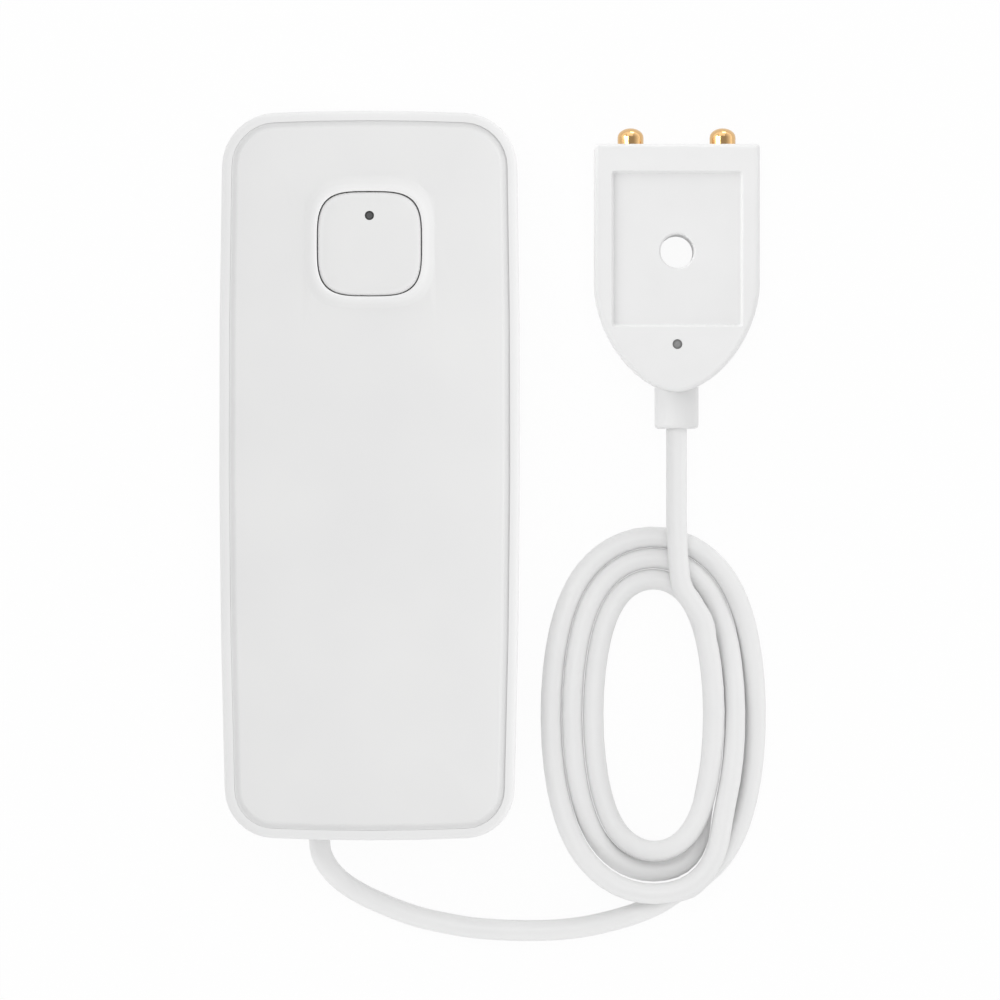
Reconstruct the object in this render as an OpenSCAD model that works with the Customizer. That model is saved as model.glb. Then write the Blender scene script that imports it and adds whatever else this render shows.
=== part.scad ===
// Water leak sensor: a battery-powered main unit with one press button, and a two-pin probe on a coiled cord.
// Sizes are in millimetres. The unit lies on its back: X runs across it, Y towards the button end, Z upwards.

/* [Main unit] */
// Length of the main unit
unit_l = 88; // [79:0.5:97]
// Width of the main unit at its widest
unit_w = 36.3; // [36:0.1:42]
// Height from the adhesive pad to the top of the button's ring
unit_h = 20; // [19.5:0.5:24]
// Corner radius at the button end
corner_top = 6.6; // [5.6:0.1:8]
// Corner radius at the cord end
corner_bottom = 6.0; // [5.6:0.1:6.2]
// Radius of the bow along the long sides
side_bow = 1463; // [1300:1:3000]
// Radius of the bow across the two ends
end_bow = 270; // [200:1:600]
// Width of the housing's rim, seen from the front
rim_w = 1.2; // [1:0.05:1.35]
// Width of the groove between the rim and the cover
groove_w = 0.45; // [0.4:0.05:0.6]
// Depth of that groove
groove_depth = 0.3; // [0.2:0.1:0.8]

/* [Button] */
// Width of the square button
button_w = 12.4; // [11.8:0.1:13]
// Gap around the button
button_gap = 0.15; // [0.1:0.05:0.25]
// Exponent of the button's rounded-square outline
squareness = 3.6; // [3:0.1:5]
// Stroke of the button
button_travel = 0.4; // [0.2:0.1:0.5]
// Width of the raised ring around the button
ring_w = 1.9; // [1.8:0.1:2.4]
// Diameter of the light pipe in the button
light_d = 1.1; // [0.8:0.1:1.4]

/* [Cells] */
// Diameter of one cell
cell_d = 10.5; // [9.8:0.1:10.6]
// Length of one cell over its nub
cell_l = 44.5; // [39:0.1:50]

/* [Probe] */
// Width of the probe
probe_w = 20.2; // [19.6:0.2:23]
// Thickness of the probe
probe_t = 8; // [8:0.2:10]
// Diameter of a contact pin
pin_d = 3.2; // [2.4:0.1:3.3]
// Distance between the axes of the two pins
pin_gap = 11.3; // [10.6:0.1:12]
// How far the pins stand out of the probe
pin_out = 2.1; // [1.6:0.1:4]
// Diameter of the screw hole through the probe
screw_d = 4.1; // [3:0.1:4.6]
// Depth of the recess in the probe's front
recess_depth = 0.7; // [0.3:0.1:1]
// Width of the recess's sloping walls, seen from the front
recess_slope = 0.3; // [0.3:0.1:0.8]

/* [Cord] */
// Diameter of the cord
cord_d = 2.5; // [2.2:0.05:2.5]

/* [Hidden] */
$fn = 48;

shell_white = [0.93, 0.93, 0.93];
soft_white = [0.88, 0.88, 0.88];
board_green = [0.07, 0.30, 0.16];
steel = [0.74, 0.75, 0.77];
gold = [0.80, 0.62, 0.42];
smoked = [0.30, 0.30, 0.31];

// Heights in the main unit
pad_w = 24;
pad_l = 60;
pad_corner = 3;
pad_t = 0.8;
back_z = 0.4;
floor_z = 2.2;
rim_z = unit_h - 1;
ledge_z = rim_z - 2.4;
cover_z = rim_z - 1.6;
boss_z = cover_z - 2;
back_round = 2;
rim_round = 0.8;
draft = 0.25;
cavity_in = 2.4;
seal_gap = 0.05;
cover_in = rim_w + groove_w;
bow_y = 6.2;

// Places in the battery bay, from the cord end up
cord_room = 10.2;
spring_l = 3.5;
plate_t = 0.5;
bay_wall = 1.2;
contact_w = 7.2;
nub_d = 3.6;
nub_l = 0.8;
cell_x = cell_d / 2 + 0.35;
cell_z = floor_z + 0.35 + cell_d / 2;
bay_h = cell_x + cell_d / 2 + 0.25;
bay_y0 = cord_room - unit_l / 2;
bay_y1 = bay_y0 + cell_l + spring_l + 0.1;

// Places of the board, between the bay and the button end, and of the button over its middle
board_z = 8.4;
board_t = 1.6;
board_top = board_z + board_t;
board_y0 = bay_y1 + plate_t + bay_wall + 0.8;
board_y1 = unit_l / 2 - 3;
board_h = unit_w / 2 - 3.65;
button_y = (board_y0 + board_y1) / 2 - 1;
opening_h = button_w / 2 + button_gap;
button_z = unit_h - 0.15;
cap_t = 1.5;
flange_h = button_w / 2 + 1;
flange_top = cover_z - 0.05;
flange_t = 0.9;
switch_y = button_y - 1.9;
light_y = button_y + 3.4;
post_d = 3;
top_post = [unit_w / 2 - 5.55, unit_l / 2 - 5.4];
low_post = [unit_w / 2 - 5.15, unit_l / 2 - 4.7];
notch_y = top_post[1] - 3.4;
screw_places = [
    [unit_w / 2 - 6.35, board_y0 + 2.2],
    [6.35 - unit_w / 2, board_y0 + 2.2],
    [0, board_y1 - 2.2]
];
switch_top = board_top + 3.5;
plunger_top = switch_top + 0.95;
plug_x = -7.2;
plug_y = board_y0 + 4.2;
plug_z = board_top + 2.3;

// Places of the cord's exit and of the probe
exit_x = -6.4;
exit_z = 5.6;
end_y = -unit_l / 2;
sheath_y = end_y + 3.8;
probe_x = 37.4;
probe_z = probe_t / 2;
probe_top = 40.6;
probe_cy = 23.3;
probe_b = 13.05;
probe_wall = 1.4;
probe_cap = 2;
hole_y = 27.5;
sleeve_r = screw_d / 2 + 1.2;
recess_h = probe_w / 2 - 2.05;
recess_y0 = 18.2;
recess_y1 = 37.3;
lens_y = 16.1;
collar_d = 5.4;
collar_y = 5.8;
collar_lip = 10.9;

// The cord's route: from inside the gland down to the floor, and from the coil up to the probe's collar
cord_r = cord_d / 2;
rest_z = 1.3;
lead_points = [
    [exit_x, sheath_y, exit_z], [exit_x, end_y + 1.6, exit_z], [exit_x, end_y - 0.6, exit_z],
    [-6.2, end_y - 2.2, 5.4], [-5.5, end_y - 3.7, 5], [-4.4, end_y - 5.1, 4.3], [-3, end_y - 6.3, 3.5],
    [-1.3, -51.4, 2.7], [0.7, -52.4, 2], [3, -53.4, 1.5], [5.6, -54.3, 1.3],
    [8.6, -55, rest_z], [12, -55.6, rest_z], [15.6, -55.9, rest_z], [19.2, -56, rest_z],
    [22.8, -55.9, rest_z], [26.2, -55.5, rest_z], [29.4, -54.8, rest_z], [32.4, -53.9, rest_z],
    [35.2, -52.7, rest_z], [37.6, -51.2, rest_z]
];
tail_points = [
    [38.2, -13.8, 4.25], [37.7, -11.2, 4.25], [37.5, -8.4, 4.2], [37.4, -5.4, 4.1],
    [37.4, -2.4, 4], [37.4, 0.8, probe_z], [37.4, 4, probe_z], [37.4, collar_y + 3.4, probe_z],
    [37.4, collar_y + 7, probe_z]
];

// The coil: three turns around a slim oval, each one strand further in than the last
coil_x = 34.6;
coil_y = -29.4;
core_a = 3.3;
core_b = 12.6;
core_out = 4.1;
strand_gap = 0.435;
coil_step = cord_d * cos(30) + strand_gap;
coil_lift = cord_d + 0.5;
coil_rings = 32;
coil_from = -66;
coil_to = 1102;
even = 2.2;

function smooth(x) =
    let (c = min(max(x, 0), 1))
    c * c * (3 - 2 * c);

function unit(v) = v / norm(v);

// Centre of the circle that touches two big arcs from inside
function touch(c1, r1, c2, r2, side) =
    let (v = c2 - c1, d = norm(v))
    let (a = (r1 * r1 - r2 * r2 + d * d) / (2 * d))
    let (h = sqrt(r1 * r1 - a * a))
    c1 + v * (a / d) + side * h / d * [-v[1], v[0]];

function bearing(from, to) = atan2(to[1] - from[1], to[0] - from[0]);

function arc(c, r, a0, a1, i0, i1, n) =
    [for (i = [i0 : i1]) let (a = a0 + (a1 - a0) * i / n) c + r * [cos(a), sin(a)]];

// Outline of the main unit, drawn in by d: four bowed sides and four tangent corners
function barrel(d) =
    let (cs = [unit_w / 2 - side_bow, bow_y])
    let (ct = [0, unit_l / 2 - end_bow])
    let (cb = [0, end_bow - unit_l / 2])
    let (rs = side_bow - d, re = end_bow - d)
    let (rt = max(corner_top - d, 0.4), rb = max(corner_bottom - d, 0.4))
    let (kt = touch(cs, rs - rt, ct, re - rt, 1))
    let (kb = touch(cs, rs - rb, cb, re - rb, -1))
    let (half = concat(
        arc(cb, re, -90, bearing(cb, kb), 0, 1, 2),
        arc(kb, rb, bearing(cb, kb), bearing(cs, kb), 0, 8, 8),
        arc(cs, rs, bearing(cs, kb), bearing(cs, kt), 1, 3, 4),
        arc(kt, rt, bearing(cs, kt), bearing(ct, kt), 0, 8, 8),
        arc(ct, re, bearing(ct, kt), 90, 1, 2, 2)
    ))
    concat(half, [for (i = [len(half) - 2 : -1 : 1]) [-half[i][0], half[i][1]]]);

// Rounded square of half-width h, centred on the button
function squircle(h) =
    [for (i = [0 : 63])
        let (c = cos(i * 5.625), s = sin(i * 5.625))
        [h * sign(c) * pow(abs(c), 2 / squareness),
         button_y + h * sign(s) * pow(abs(s), 2 / squareness)]];

// Outline of the probe, drawn in by d: a straight top with a shield-shaped lower end
function shield(d) =
    let (a = probe_w / 2 - d, b = probe_b - d, t = probe_top - d)
    let (r = max(0.5 - d, 0.15), e = 2 / 1.75)
    let (low = [for (i = [0 : 14])
        let (f = 90 * i / 14)
        [a * pow(sin(f), e), probe_cy - b * pow(max(cos(f), 0), e)]])
    let (half = concat(low, arc([a - r, t - r], r, 0, 90, 0, 3, 3)))
    [for (p = concat(half, [for (i = [len(half) - 1 : -1 : 1]) [-half[i][0], half[i][1]]]))
        p + [probe_x, 0]];

// Rounded rectangle
function rounded(w, l, r, c) =
    [for (k = [0 : 3])
        let (sx = (k == 0 || k == 3) ? 1 : -1, sy = k < 2 ? 1 : -1)
        each arc(c + [sx * (w / 2 - r), sy * (l / 2 - r)], r, 90 * k, 90 * k + 90, 0, 4, 4)];

function level(outline, z) = [for (p = outline) [p[0], p[1], z]];

// Closed solid through a list of rings with the same number of points
module loft(rings) {
    n = len(rings[0]);
    m = len(rings);
    sides = [for (k = [0 : m - 2], i = [0 : n - 1])
        let (a = k * n + i, b = k * n + (i + 1) % n)
        each [[a, a + n, b + n], [a, b + n, b]]];
    first = [for (i = [0 : n - 1]) i];
    last = [for (i = [n - 1 : -1 : 0]) (m - 1) * n + i];
    polyhedron([for (r = rings) each r], concat([first], sides, [last]));
}

module slab(outline, z0, z1) {
    translate([0, 0, z0])
        linear_extrude(z1 - z0)
            polygon(outline);
}

module box(x0, y0, z0, x1, y1, z1) {
    translate([x0, y0, z0])
        cube([x1 - x0, y1 - y0, z1 - z0]);
}

// Round bar along Z
module bar(x, y, z0, z1, d) {
    translate([x, y, z0])
        cylinder(d = d, h = z1 - z0);
}

// Round bar along Y
module bar_y(x, z, y0, y1, d) {
    translate([x, y0, z])
        rotate([-90, 0, 0])
            cylinder(d = d, h = y1 - y0);
}

// Turned piece along Y from a profile of [radius, y] points
module turned_y(x, z, profile) {
    translate([x, 0, z])
        rotate([-90, 0, 0])
            rotate_extrude()
                polygon(profile);
}

// Direction of a route at each of its points
function headings(p) =
    [for (i = [0 : len(p) - 1])
        unit(p[min(i + 1, len(p) - 1)] - p[max(i - 1, 0)])];

function square_to(v, t) = unit(v - (v * t) * t);

// Ups that are carried along a route without twisting
function carried(t, i, up) =
    i == len(t) ? [] : let (u = square_to(up, t[i])) concat([u], carried(t, i + 1, u));

function tube_rings(p, t, ups, r, sides, turn) =
    [for (i = [0 : len(p) - 1])
        let (s = cross(ups[i], t[i]))
        [for (k = [0 : sides - 1])
            let (a = turn + 360 * k / sides)
            p[i] + r * (cos(a) * s + sin(a) * ups[i])]];

// Round tube along a route
module tube(p, d, up) {
    t = headings(p);
    loft(tube_rings(p, t, carried(t, 0, up), d / 2, 8, 22.5));
}

// Point of the coil's centre line: an oval kept at a set distance from its core
function coil_point(u) =
    let (f = atan2(even * sin(u), cos(u)))
    let (n = unit([core_b * cos(f), core_a * sin(f)]))
    let (inward = smooth((u - 280) / 60) + smooth((u - 640) / 60))
    let (hump = smooth((u - 190) / 70) * (1 - smooth((u - 340) / 60)))
    let (climb = smooth((u - 930) / 85))
    let (out = core_out + coil_step * (2 - inward))
    [coil_x + core_a * cos(f) + out * n[0],
     coil_y + core_b * sin(f) + out * n[1],
     rest_z + coil_lift * (hump + climb)];

function coil_heading(u) = unit(coil_point(u + 1) - coil_point(u - 1));

coil_count = round((coil_to - coil_from) * coil_rings / 360);
coil_angles = [for (i = [0 : coil_count]) coil_from + (coil_to - coil_from) * i / coil_count];

// Main unit

module back_housing() {
    outer = concat(
        [for (i = [0 : 4])
            let (a = 22.5 * i)
            level(barrel(draft + back_round * (1 - sin(a))), back_z + back_round * (1 - cos(a)))],
        [for (i = [0 : 4])
            let (a = 22.5 * i)
            level(barrel(rim_round * (1 - cos(a))), rim_z - rim_round + rim_round * sin(a))]
    );
    color(shell_white)
        difference() {
            union() {
                difference() {
                    loft(outer);
                    slab(barrel(cavity_in), floor_z, unit_h);
                    slab(barrel(rim_w), ledge_z, unit_h);
                }
                housing_bosses();
                battery_bay();
            }
            slab(rounded(pad_w + 0.3, pad_l + 0.3, pad_corner + 0.15, [0, 0]), back_z - 1, pad_t);
            for (s = [-1, 1]) {
                bar(s * top_post[0], top_post[1], 7, unit_h, post_d + 0.1);
                bar(s * low_post[0], -low_post[1], 7, unit_h, post_d + 0.1);
            }
            for (p = screw_places)
                bar(p[0], p[1], 4, board_z + 1, 2.1);
            bar_y(exit_x, exit_z, -unit_l / 2 - 1, 3 - unit_l / 2, 5);
        }
}

// Sockets for the cover's posts and bosses under the board
module housing_bosses() {
    for (s = [-1, 1]) {
        bar(s * top_post[0], top_post[1], floor_z - 0.4, boss_z, 4.4);
        bar(s * low_post[0], -low_post[1], floor_z - 0.4, boss_z, 4.4);
    }
    for (p = screw_places)
        bar(p[0], p[1], floor_z - 0.4, board_z, 4.6);
}

// Walls around the two cells and cradles under them
module battery_bay() {
    low = floor_z - 0.4;
    for (s = [-1, 1])
        box(s * (bay_h + 0.5) - 0.5, bay_y0 - plate_t, low, s * (bay_h + 0.5) + 0.5, bay_y1 + plate_t, 10);
    box(-bay_h - 1, bay_y0 - plate_t - bay_wall, low, bay_h + 1, bay_y0 - plate_t, 12);
    box(-bay_h - 1, bay_y1 + plate_t, low, bay_h + 1, bay_y1 + plate_t + bay_wall, 12);
    difference() {
        for (f = [0.22, 0.5, 0.78])
            box(-bay_h - 0.2, bay_y0 + f * (bay_y1 - bay_y0) - 0.6, low,
                bay_h + 0.2, bay_y0 + f * (bay_y1 - bay_y0) + 0.6, 5);
        for (s = [-1, 1])
            bar_y(s * cell_x, cell_z, bay_y0, bay_y1, cell_d + 0.2);
    }
}

module front_cover() {
    edge = 0.5;
    crown = [[2.2, 0.16], [5.2, 0.28], [8.4, 0.4]];
    plate = concat(
        [level(barrel(cover_in), cover_z)],
        [for (i = [0 : 4])
            let (a = 22.5 * i)
            level(barrel(cover_in + edge * (1 - cos(a))), rim_z - edge + edge * sin(a))],
        [for (c = crown) level(barrel(cover_in + c[0]), rim_z + c[1])]
    );
    swell = [
        [1, -1.3], [1, -0.68], [0.86, -0.62], [0.7, -0.5], [0.54, -0.32], [0.4, -0.15], [0.28, -0.04],
        [0.16, 0], [0.04, -0.03], [0, -0.1]
    ];
    ring = [for (c = swell) level(squircle(opening_h + c[0] * ring_w), unit_h + c[1])];
    color(shell_white) {
        difference() {
            union() {
                loft(plate);
                loft(ring);
                difference() {
                    slab(barrel(cavity_in + 0.2), cover_z - 1.5, cover_z + 0.2);
                    slab(barrel(cavity_in + 1.1), cover_z - 2, cover_z);
                }
                for (s = [-1, 1]) {
                    bar(s * top_post[0], top_post[1], 10, cover_z + 0.2, post_d);
                    bar(s * low_post[0], -low_post[1], 10, cover_z + 0.2, post_d);
                }
            }
            slab(squircle(opening_h), cover_z - 1, unit_h + 1);
        }
    }
}

// Soft ring between the ledge and the cover, with a lip that closes the bottom of the groove
module perimeter_seal() {
    color(soft_white)
        difference() {
            slab(barrel(rim_w + seal_gap), ledge_z + seal_gap, rim_z - groove_depth);
            slab(barrel(cover_in - seal_gap), cover_z, unit_h);
            slab(barrel(cavity_in - 0.1), 0, unit_h);
        }
}

module button() {
    edge = 0.3;
    side = button_w / 2;
    cap = concat(
        [level(squircle(side), flange_top - 0.3)],
        [for (i = [0 : 3])
            let (a = 30 * i)
            level(squircle(side - edge * (1 - cos(a))), button_z - 0.1 - edge + edge * sin(a))],
        [level(squircle(side * 0.72), button_z - 0.03), level(squircle(side * 0.4), button_z)]
    );
    color(shell_white)
        difference() {
            union() {
                difference() {
                    union() {
                        loft(cap);
                        slab(squircle(flange_h), flange_top - flange_t, flange_top);
                    }
                    slab(squircle(side - 1.2), flange_top - 2, button_z - cap_t);
                }
                bar(0, switch_y, plunger_top + 0.05, button_z - cap_t + 0.2, 3.4);
            }
            bar(0, light_y, button_z - cap_t - 1, unit_h + 1, light_d + 0.06);
        }
}

// Clear rod that brings the lamp's light up to the dot in the button
module light_pipe() {
    color(smoked)
        union() {
            bar(0, light_y, button_z - cap_t - 0.2, button_z - 0.06, light_d);
            bar(0, light_y, board_top + 1.6, button_z - cap_t, light_d + 0.9);
        }
}

module main_board() {
    outline = [
        [-board_h, board_y0], [board_h, board_y0], [board_h, notch_y], [9, notch_y],
        [9, board_y1], [-9, board_y1], [-9, notch_y], [-board_h, notch_y]
    ];
    color(board_green)
        difference() {
            slab(outline, board_z, board_top);
            for (p = screw_places)
                bar(p[0], p[1], board_z - 1, board_top + 1, 2.2);
        }
}

module tact_switch() {
    color([0.18, 0.18, 0.19])
        difference() {
            union() {
                box(-3, switch_y - 3, board_top, 3, switch_y + 3, switch_top);
                for (sx = [-1, 1], sy = [-1, 1])
                    box(sx * 3.4 - 0.5, switch_y + sy * 2.2 - 0.35, board_top,
                        sx * 3.4 + 0.5, switch_y + sy * 2.2 + 0.35, board_top + 0.3);
            }
            bar(0, switch_y, board_top + 2, switch_top + 1, 3.5);
        }
}

module switch_plunger() {
    color([0.12, 0.12, 0.13])
        bar(0, switch_y, board_top + 2 + button_travel + 0.2, plunger_top, 3.4);
}

module status_led() {
    color([0.95, 0.94, 0.86])
        box(-0.8, light_y - 0.8, board_top, 0.8, light_y + 0.8, board_top + 1);
}

module radio_module() {
    y0 = board_y0 + 4.8;
    y1 = notch_y - 0.2;
    can_l = 0.63 * (y1 - y0);
    color(steel)
        union() {
            box(4.2, y0, board_top, 14.2, y1, board_top + 0.8);
            box(5, y0 + 0.8, board_top + 0.8, 13.4, y0 + 0.8 + can_l, board_top + 2.4);
        }
}

// Controller chip, coil and small parts at the board's two ends, each as [x, y, width, length, height]
module board_components() {
    bits = [
        [-12.4, board_y0 + 7.2, 3.6, 3.6, 0.9], [7, board_y0 + 2.9, 3.4, 3, 2],
        [1.5, board_y0 + 0.8, 1.6, 0.8, 0.6], [-1.5, board_y0 + 0.8, 1.6, 0.8, 0.6],
        [5.2, board_y1 - 2.2, 3.2, 1.5, 0.9], [8.1, board_y1 - 2.2, 0.8, 1.6, 0.8],
        [-5, board_y1 - 2, 0.8, 1.6, 0.8]
    ];
    color([0.10, 0.10, 0.11])
        for (b = bits)
            box(b[0] - b[2] / 2, b[1] - b[3] / 2, board_top,
                b[0] + b[2] / 2, b[1] + b[3] / 2, board_top + b[4]);
}

module probe_header() {
    color([0.90, 0.88, 0.82])
        difference() {
            box(plug_x - 3, plug_y + 3.5, board_top, plug_x + 3, plug_y + 8, plug_z + 2.1);
            box(plug_x - 2.4, plug_y + 3, plug_z - 1.4, plug_x + 2.4, plug_y + 7, plug_z + 1.5);
        }
}

module probe_plug() {
    color([0.93, 0.92, 0.88])
        union() {
            box(plug_x - 2.6, plug_y, plug_z - 1.7, plug_x + 2.6, plug_y + 3.4, plug_z + 1.7);
            box(plug_x - 2.3, plug_y + 3.2, plug_z - 1.3, plug_x + 2.3, plug_y + 6.6, plug_z + 1.4);
        }
}

// Two thin wires from the cord's end along the left channel and up to the plug
module lead_wires() {
    x = 4.45 - unit_w / 2;
    y0 = (bay_y0 - plate_t - bay_wall - low_post[1] + 2.2) / 2;
    y1 = bay_y1;
    low = [
        [exit_x, sheath_y, exit_z - 0.55], [exit_x, sheath_y + 1, exit_z - 0.55],
        [exit_x - 0.5, sheath_y + 2.2, 4.5], [exit_x - 1.8, y0 - 0.2, 3.6], [exit_x - 3.8, y0, 3],
        [x + 1.3, y0, 2.8], [x + 0.4, y0 + 0.5, 2.8], [x, y0 + 1.6, 2.8], [x, y0 + 6, 2.8],
        [x, y1 - 14, 2.8], [x, y1 - 2, 2.8], [x, y1 - 0.2, 3.4], [x, y1 + 0.9, 5], [x, y1 + 1.3, 7.5],
        [x + 0.1, y1 + 1.6, 9.4], [x + 0.2, y1 + 2.4, 11.4], [x + 0.8, y1 + 3.8, 12.3],
        [x + 2.2, plug_y - 2.1, 12.4], [plug_x - 2.7, plug_y - 1.9, 12.4],
        [plug_x - 1.5, plug_y - 1.6, plug_z], [plug_x - 0.9, plug_y - 0.9, plug_z],
        [plug_x - 0.9, plug_y, plug_z]
    ];
    high = [
        [exit_x, sheath_y, exit_z + 0.55], [exit_x, sheath_y + 1, exit_z + 0.55],
        [exit_x - 0.5, sheath_y + 2.2, 5.8], [exit_x - 1.8, y0 - 0.2, 5], [exit_x - 3.8, y0, 4.3],
        [x + 1.3, y0, 4], [x + 0.4, y0 + 0.5, 4], [x, y0 + 1.6, 4], [x, y0 + 6, 4],
        [x, y1 - 14, 4], [x + 0.2, y1 - 4, 4], [x + 0.7, y1 - 2.2, 4.4], [x + 0.85, y1 - 0.6, 6],
        [x + 0.85, y1 + 0.3, 8.2], [x + 0.9, y1 + 0.9, 10.2], [x + 0.95, y1 + 1.7, 11.8],
        [x + 1.7, y1 + 2.9, 12.7], [x + 3.3, plug_y - 3.1, 12.9], [plug_x - 1.3, plug_y - 2.8, 12.9],
        [plug_x, plug_y - 2.4, 12.7], [plug_x + 0.75, plug_y - 1.6, 12.4],
        [plug_x + 0.85, plug_y - 0.8, plug_z], [plug_x + 0.85, plug_y, plug_z]
    ];
    color([0.80, 0.16, 0.14])
        tube(low, 0.9, [1, 0, 0]);
    color([0.10, 0.10, 0.11])
        tube(high, 0.9, [1, 0, 0]);
}

module cell(x, y0, up) {
    lift = up > 0 ? 0 : nub_l;
    color([0.62, 0.64, 0.66])
        union() {
            bar_y(x, cell_z, y0 + lift, y0 + lift + cell_l - nub_l, cell_d);
            bar_y(x, cell_z, y0 + (up > 0 ? 1 : 0), y0 + cell_l - (up > 0 ? 0 : 1), nub_d);
        }
}

module cell_left() {
    cell(-cell_x, bay_y1 - 0.05 - cell_l, 1);
}

module cell_right() {
    cell(cell_x, bay_y0 + 0.05, -1);
}

// Cone-shaped spring that stands on a contact plate at y and points along Y
module cone_spring(x, y, way) {
    turns = 2.75;
    n = 36;
    p = [for (i = [0 : n])
        let (a = 360 * turns * i / n, f = i / n, r = 3.4 - 1.6 * f)
        [x + r * cos(a), y + way * (0.2 + (spring_l - 0.5) * f), cell_z + r * sin(a)]];
    t = headings(p);
    loft(tube_rings(p, t, carried(t, 0, [0, 1, 0]), 0.3, 6, 0));
}

// Contact plate on the board side, with a tab over the bay's wall down to the board
module top_contact(x) {
    box(x - contact_w / 2, bay_y1, 3, x + contact_w / 2, bay_y1 + plate_t - 0.05, 12.45);
    box(x - 1, bay_y1, 12.05, x + 1, board_y0 + 1, 12.45);
    box(x - 1, board_y0 + 0.6, board_top, x + 1, board_y0 + 1, 12.45);
}

module contact_positive() {
    color(steel)
        union() {
            top_contact(-cell_x);
        }
}

module contact_negative() {
    color(steel)
        union() {
            top_contact(cell_x);
            cone_spring(cell_x, bay_y1, -1);
        }
}

// Plate at the cord end that joins the two cells
module contact_bridge() {
    color(steel)
        union() {
            box(-cell_x - contact_w / 2, bay_y0 - plate_t + 0.05, 3, cell_x + contact_w / 2, bay_y0, 11.6);
            cone_spring(-cell_x, bay_y0, 1);
        }
}

// Rubber bush that the cord passes through in the housing's end wall
module cable_grommet() {
    y = -unit_l / 2;
    color([0.84, 0.84, 0.84])
        turned_y(exit_x, exit_z, [
            [cord_r + 0.05, y + 0.15], [2.2, y + 0.15], [2.45, y + 0.4], [2.45, y + 2.7], [3.2, y + 2.7],
            [3.2, y + 3.7], [cord_r + 0.05, y + 3.7]
        ]);
}

module board_screws() {
    color(steel)
        for (p = screw_places)
            translate([p[0], p[1], 0])
                difference() {
                    union() {
                        bar(0, 0, board_z - 3.6, board_top + 0.4, 2);
                        bar(0, 0, board_top, board_top + 1.3, 3.6);
                    }
                    for (a = [0, 90])
                        rotate([0, 0, a])
                            box(-1.1, -0.25, board_top + 0.6, 1.1, 0.25, board_top + 2);
                }
}

module adhesive_pad() {
    color([0.86, 0.86, 0.85])
        slab(rounded(pad_w, pad_l, pad_corner, [0, 0]), 0, pad_t);
}

// Probe

// Half of the probe's outside from the middle plane to one face
function probe_skin(way) =
    let (r = 0.6, half = probe_t / 2)
    let (steps = concat([[0.12, 0], [0, 0.15]],
        [for (i = [0 : 3]) let (a = 30 * i) [r * (1 - cos(a)), half - r + r * sin(a)]]))
    let (order = way > 0 ? [0 : 5] : [5 : -1 : 0])
    [for (i = order) level(shield(steps[i][0]), probe_z + way * steps[i][1])];

// Edge of the front's recess at height z, let out by d
function recess_edge(d, r, z) =
    level(rounded(2 * (recess_h + d), recess_y1 - recess_y0 + 2 * d, r,
        [probe_x, (recess_y0 + recess_y1) / 2]), z);

// Room in both halves for the pins, the collar and the screw
module probe_bores() {
    for (s = [-1, 1])
        bar_y(probe_x + s * pin_gap / 2, probe_z, 35.5, 45, pin_d + 0.1);
    bar_y(probe_x, probe_z, 8, collar_lip + 0.05, collar_d + 0.1);
    bar_y(probe_x, probe_z, collar_lip, collar_lip + 1, 4.3);
    bar_y(probe_x, probe_z, collar_lip + 0.95, collar_lip + 2.4, collar_d + 0.1);
    bar(probe_x, hole_y, -1, probe_t + 1, screw_d);
}

module probe_front() {
    roof = probe_t - probe_cap;
    face = probe_t - recess_depth;
    color(shell_white)
        difference() {
            union() {
                difference() {
                    loft(probe_skin(1));
                    slab(shield(probe_wall), probe_z - 1, roof);
                }
                bar(probe_x, hole_y, probe_z, face, 2 * sleeve_r);
                for (s = [-1, 1]) {
                    box(probe_x + s * pin_gap / 2 - 2.2, 36.2, probe_z,
                        probe_x + s * pin_gap / 2 + 2.2, 37.2, roof + 0.2);
                    bar(probe_x + s * 7, 25.5, probe_z, roof + 0.2, 3);
                }
            }
            loft([
                recess_edge(-recess_slope, 0.2, face),
                recess_edge(recess_slope, 0.6, probe_t + recess_depth)
            ]);
            probe_bores();
            translate([probe_x, hole_y, face - 0.2])
                cylinder(d1 = screw_d, d2 = screw_d + 0.6, h = 0.3);
            bar(probe_x, lens_y, roof - 1, probe_t + 1, 1.2);
            for (s = [-1, 1])
                bar(probe_x + s * 7, 25.5, probe_z - 1, probe_z + 1.4, 1.6);
        }
}

module probe_back() {
    color(shell_white)
        difference() {
            union() {
                difference() {
                    loft(probe_skin(-1));
                    slab(shield(probe_wall), probe_wall, probe_z + 1);
                }
                bar(probe_x, hole_y, 0.2, probe_z, 2 * sleeve_r);
                for (s = [-1, 1]) {
                    box(probe_x + s * pin_gap / 2 - 2.2, 36.2, probe_wall - 0.2,
                        probe_x + s * pin_gap / 2 + 2.2, 37.2, probe_z);
                    bar(probe_x + s * 7, 25.5, probe_wall - 0.2, probe_z, 3);
                    bar(probe_x + s * 7, 25.5, probe_z - 0.5, probe_z + 1.2, 1.5);
                    bar(probe_x + s * 2.6, 18, probe_wall - 0.2, probe_z - 1, 2.4);
                }
            }
            probe_bores();
        }
}

// Domed contact pin with a collar that stays behind the probe's top wall
module probe_pin(x) {
    r = pin_d / 2;
    cap = 0.72 * r;
    base = probe_top + pin_out - cap;
    dome = [for (i = [0 : 6]) let (a = 15 * i) [r * cos(a), base + cap * sin(a)]];
    color(gold)
        turned_y(x, probe_z, concat(
            [[0, 32.4], [0.7, 32.4], [0.7, 34.6], [r, 34.6]],
            [[r, 37.4], [r + 0.3, 37.4], [r + 0.3, 38.9], [r, 38.9]],
            dome
        ));
}

module probe_pin_left() {
    probe_pin(probe_x - pin_gap / 2);
}

module probe_pin_right() {
    probe_pin(probe_x + pin_gap / 2);
}

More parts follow.
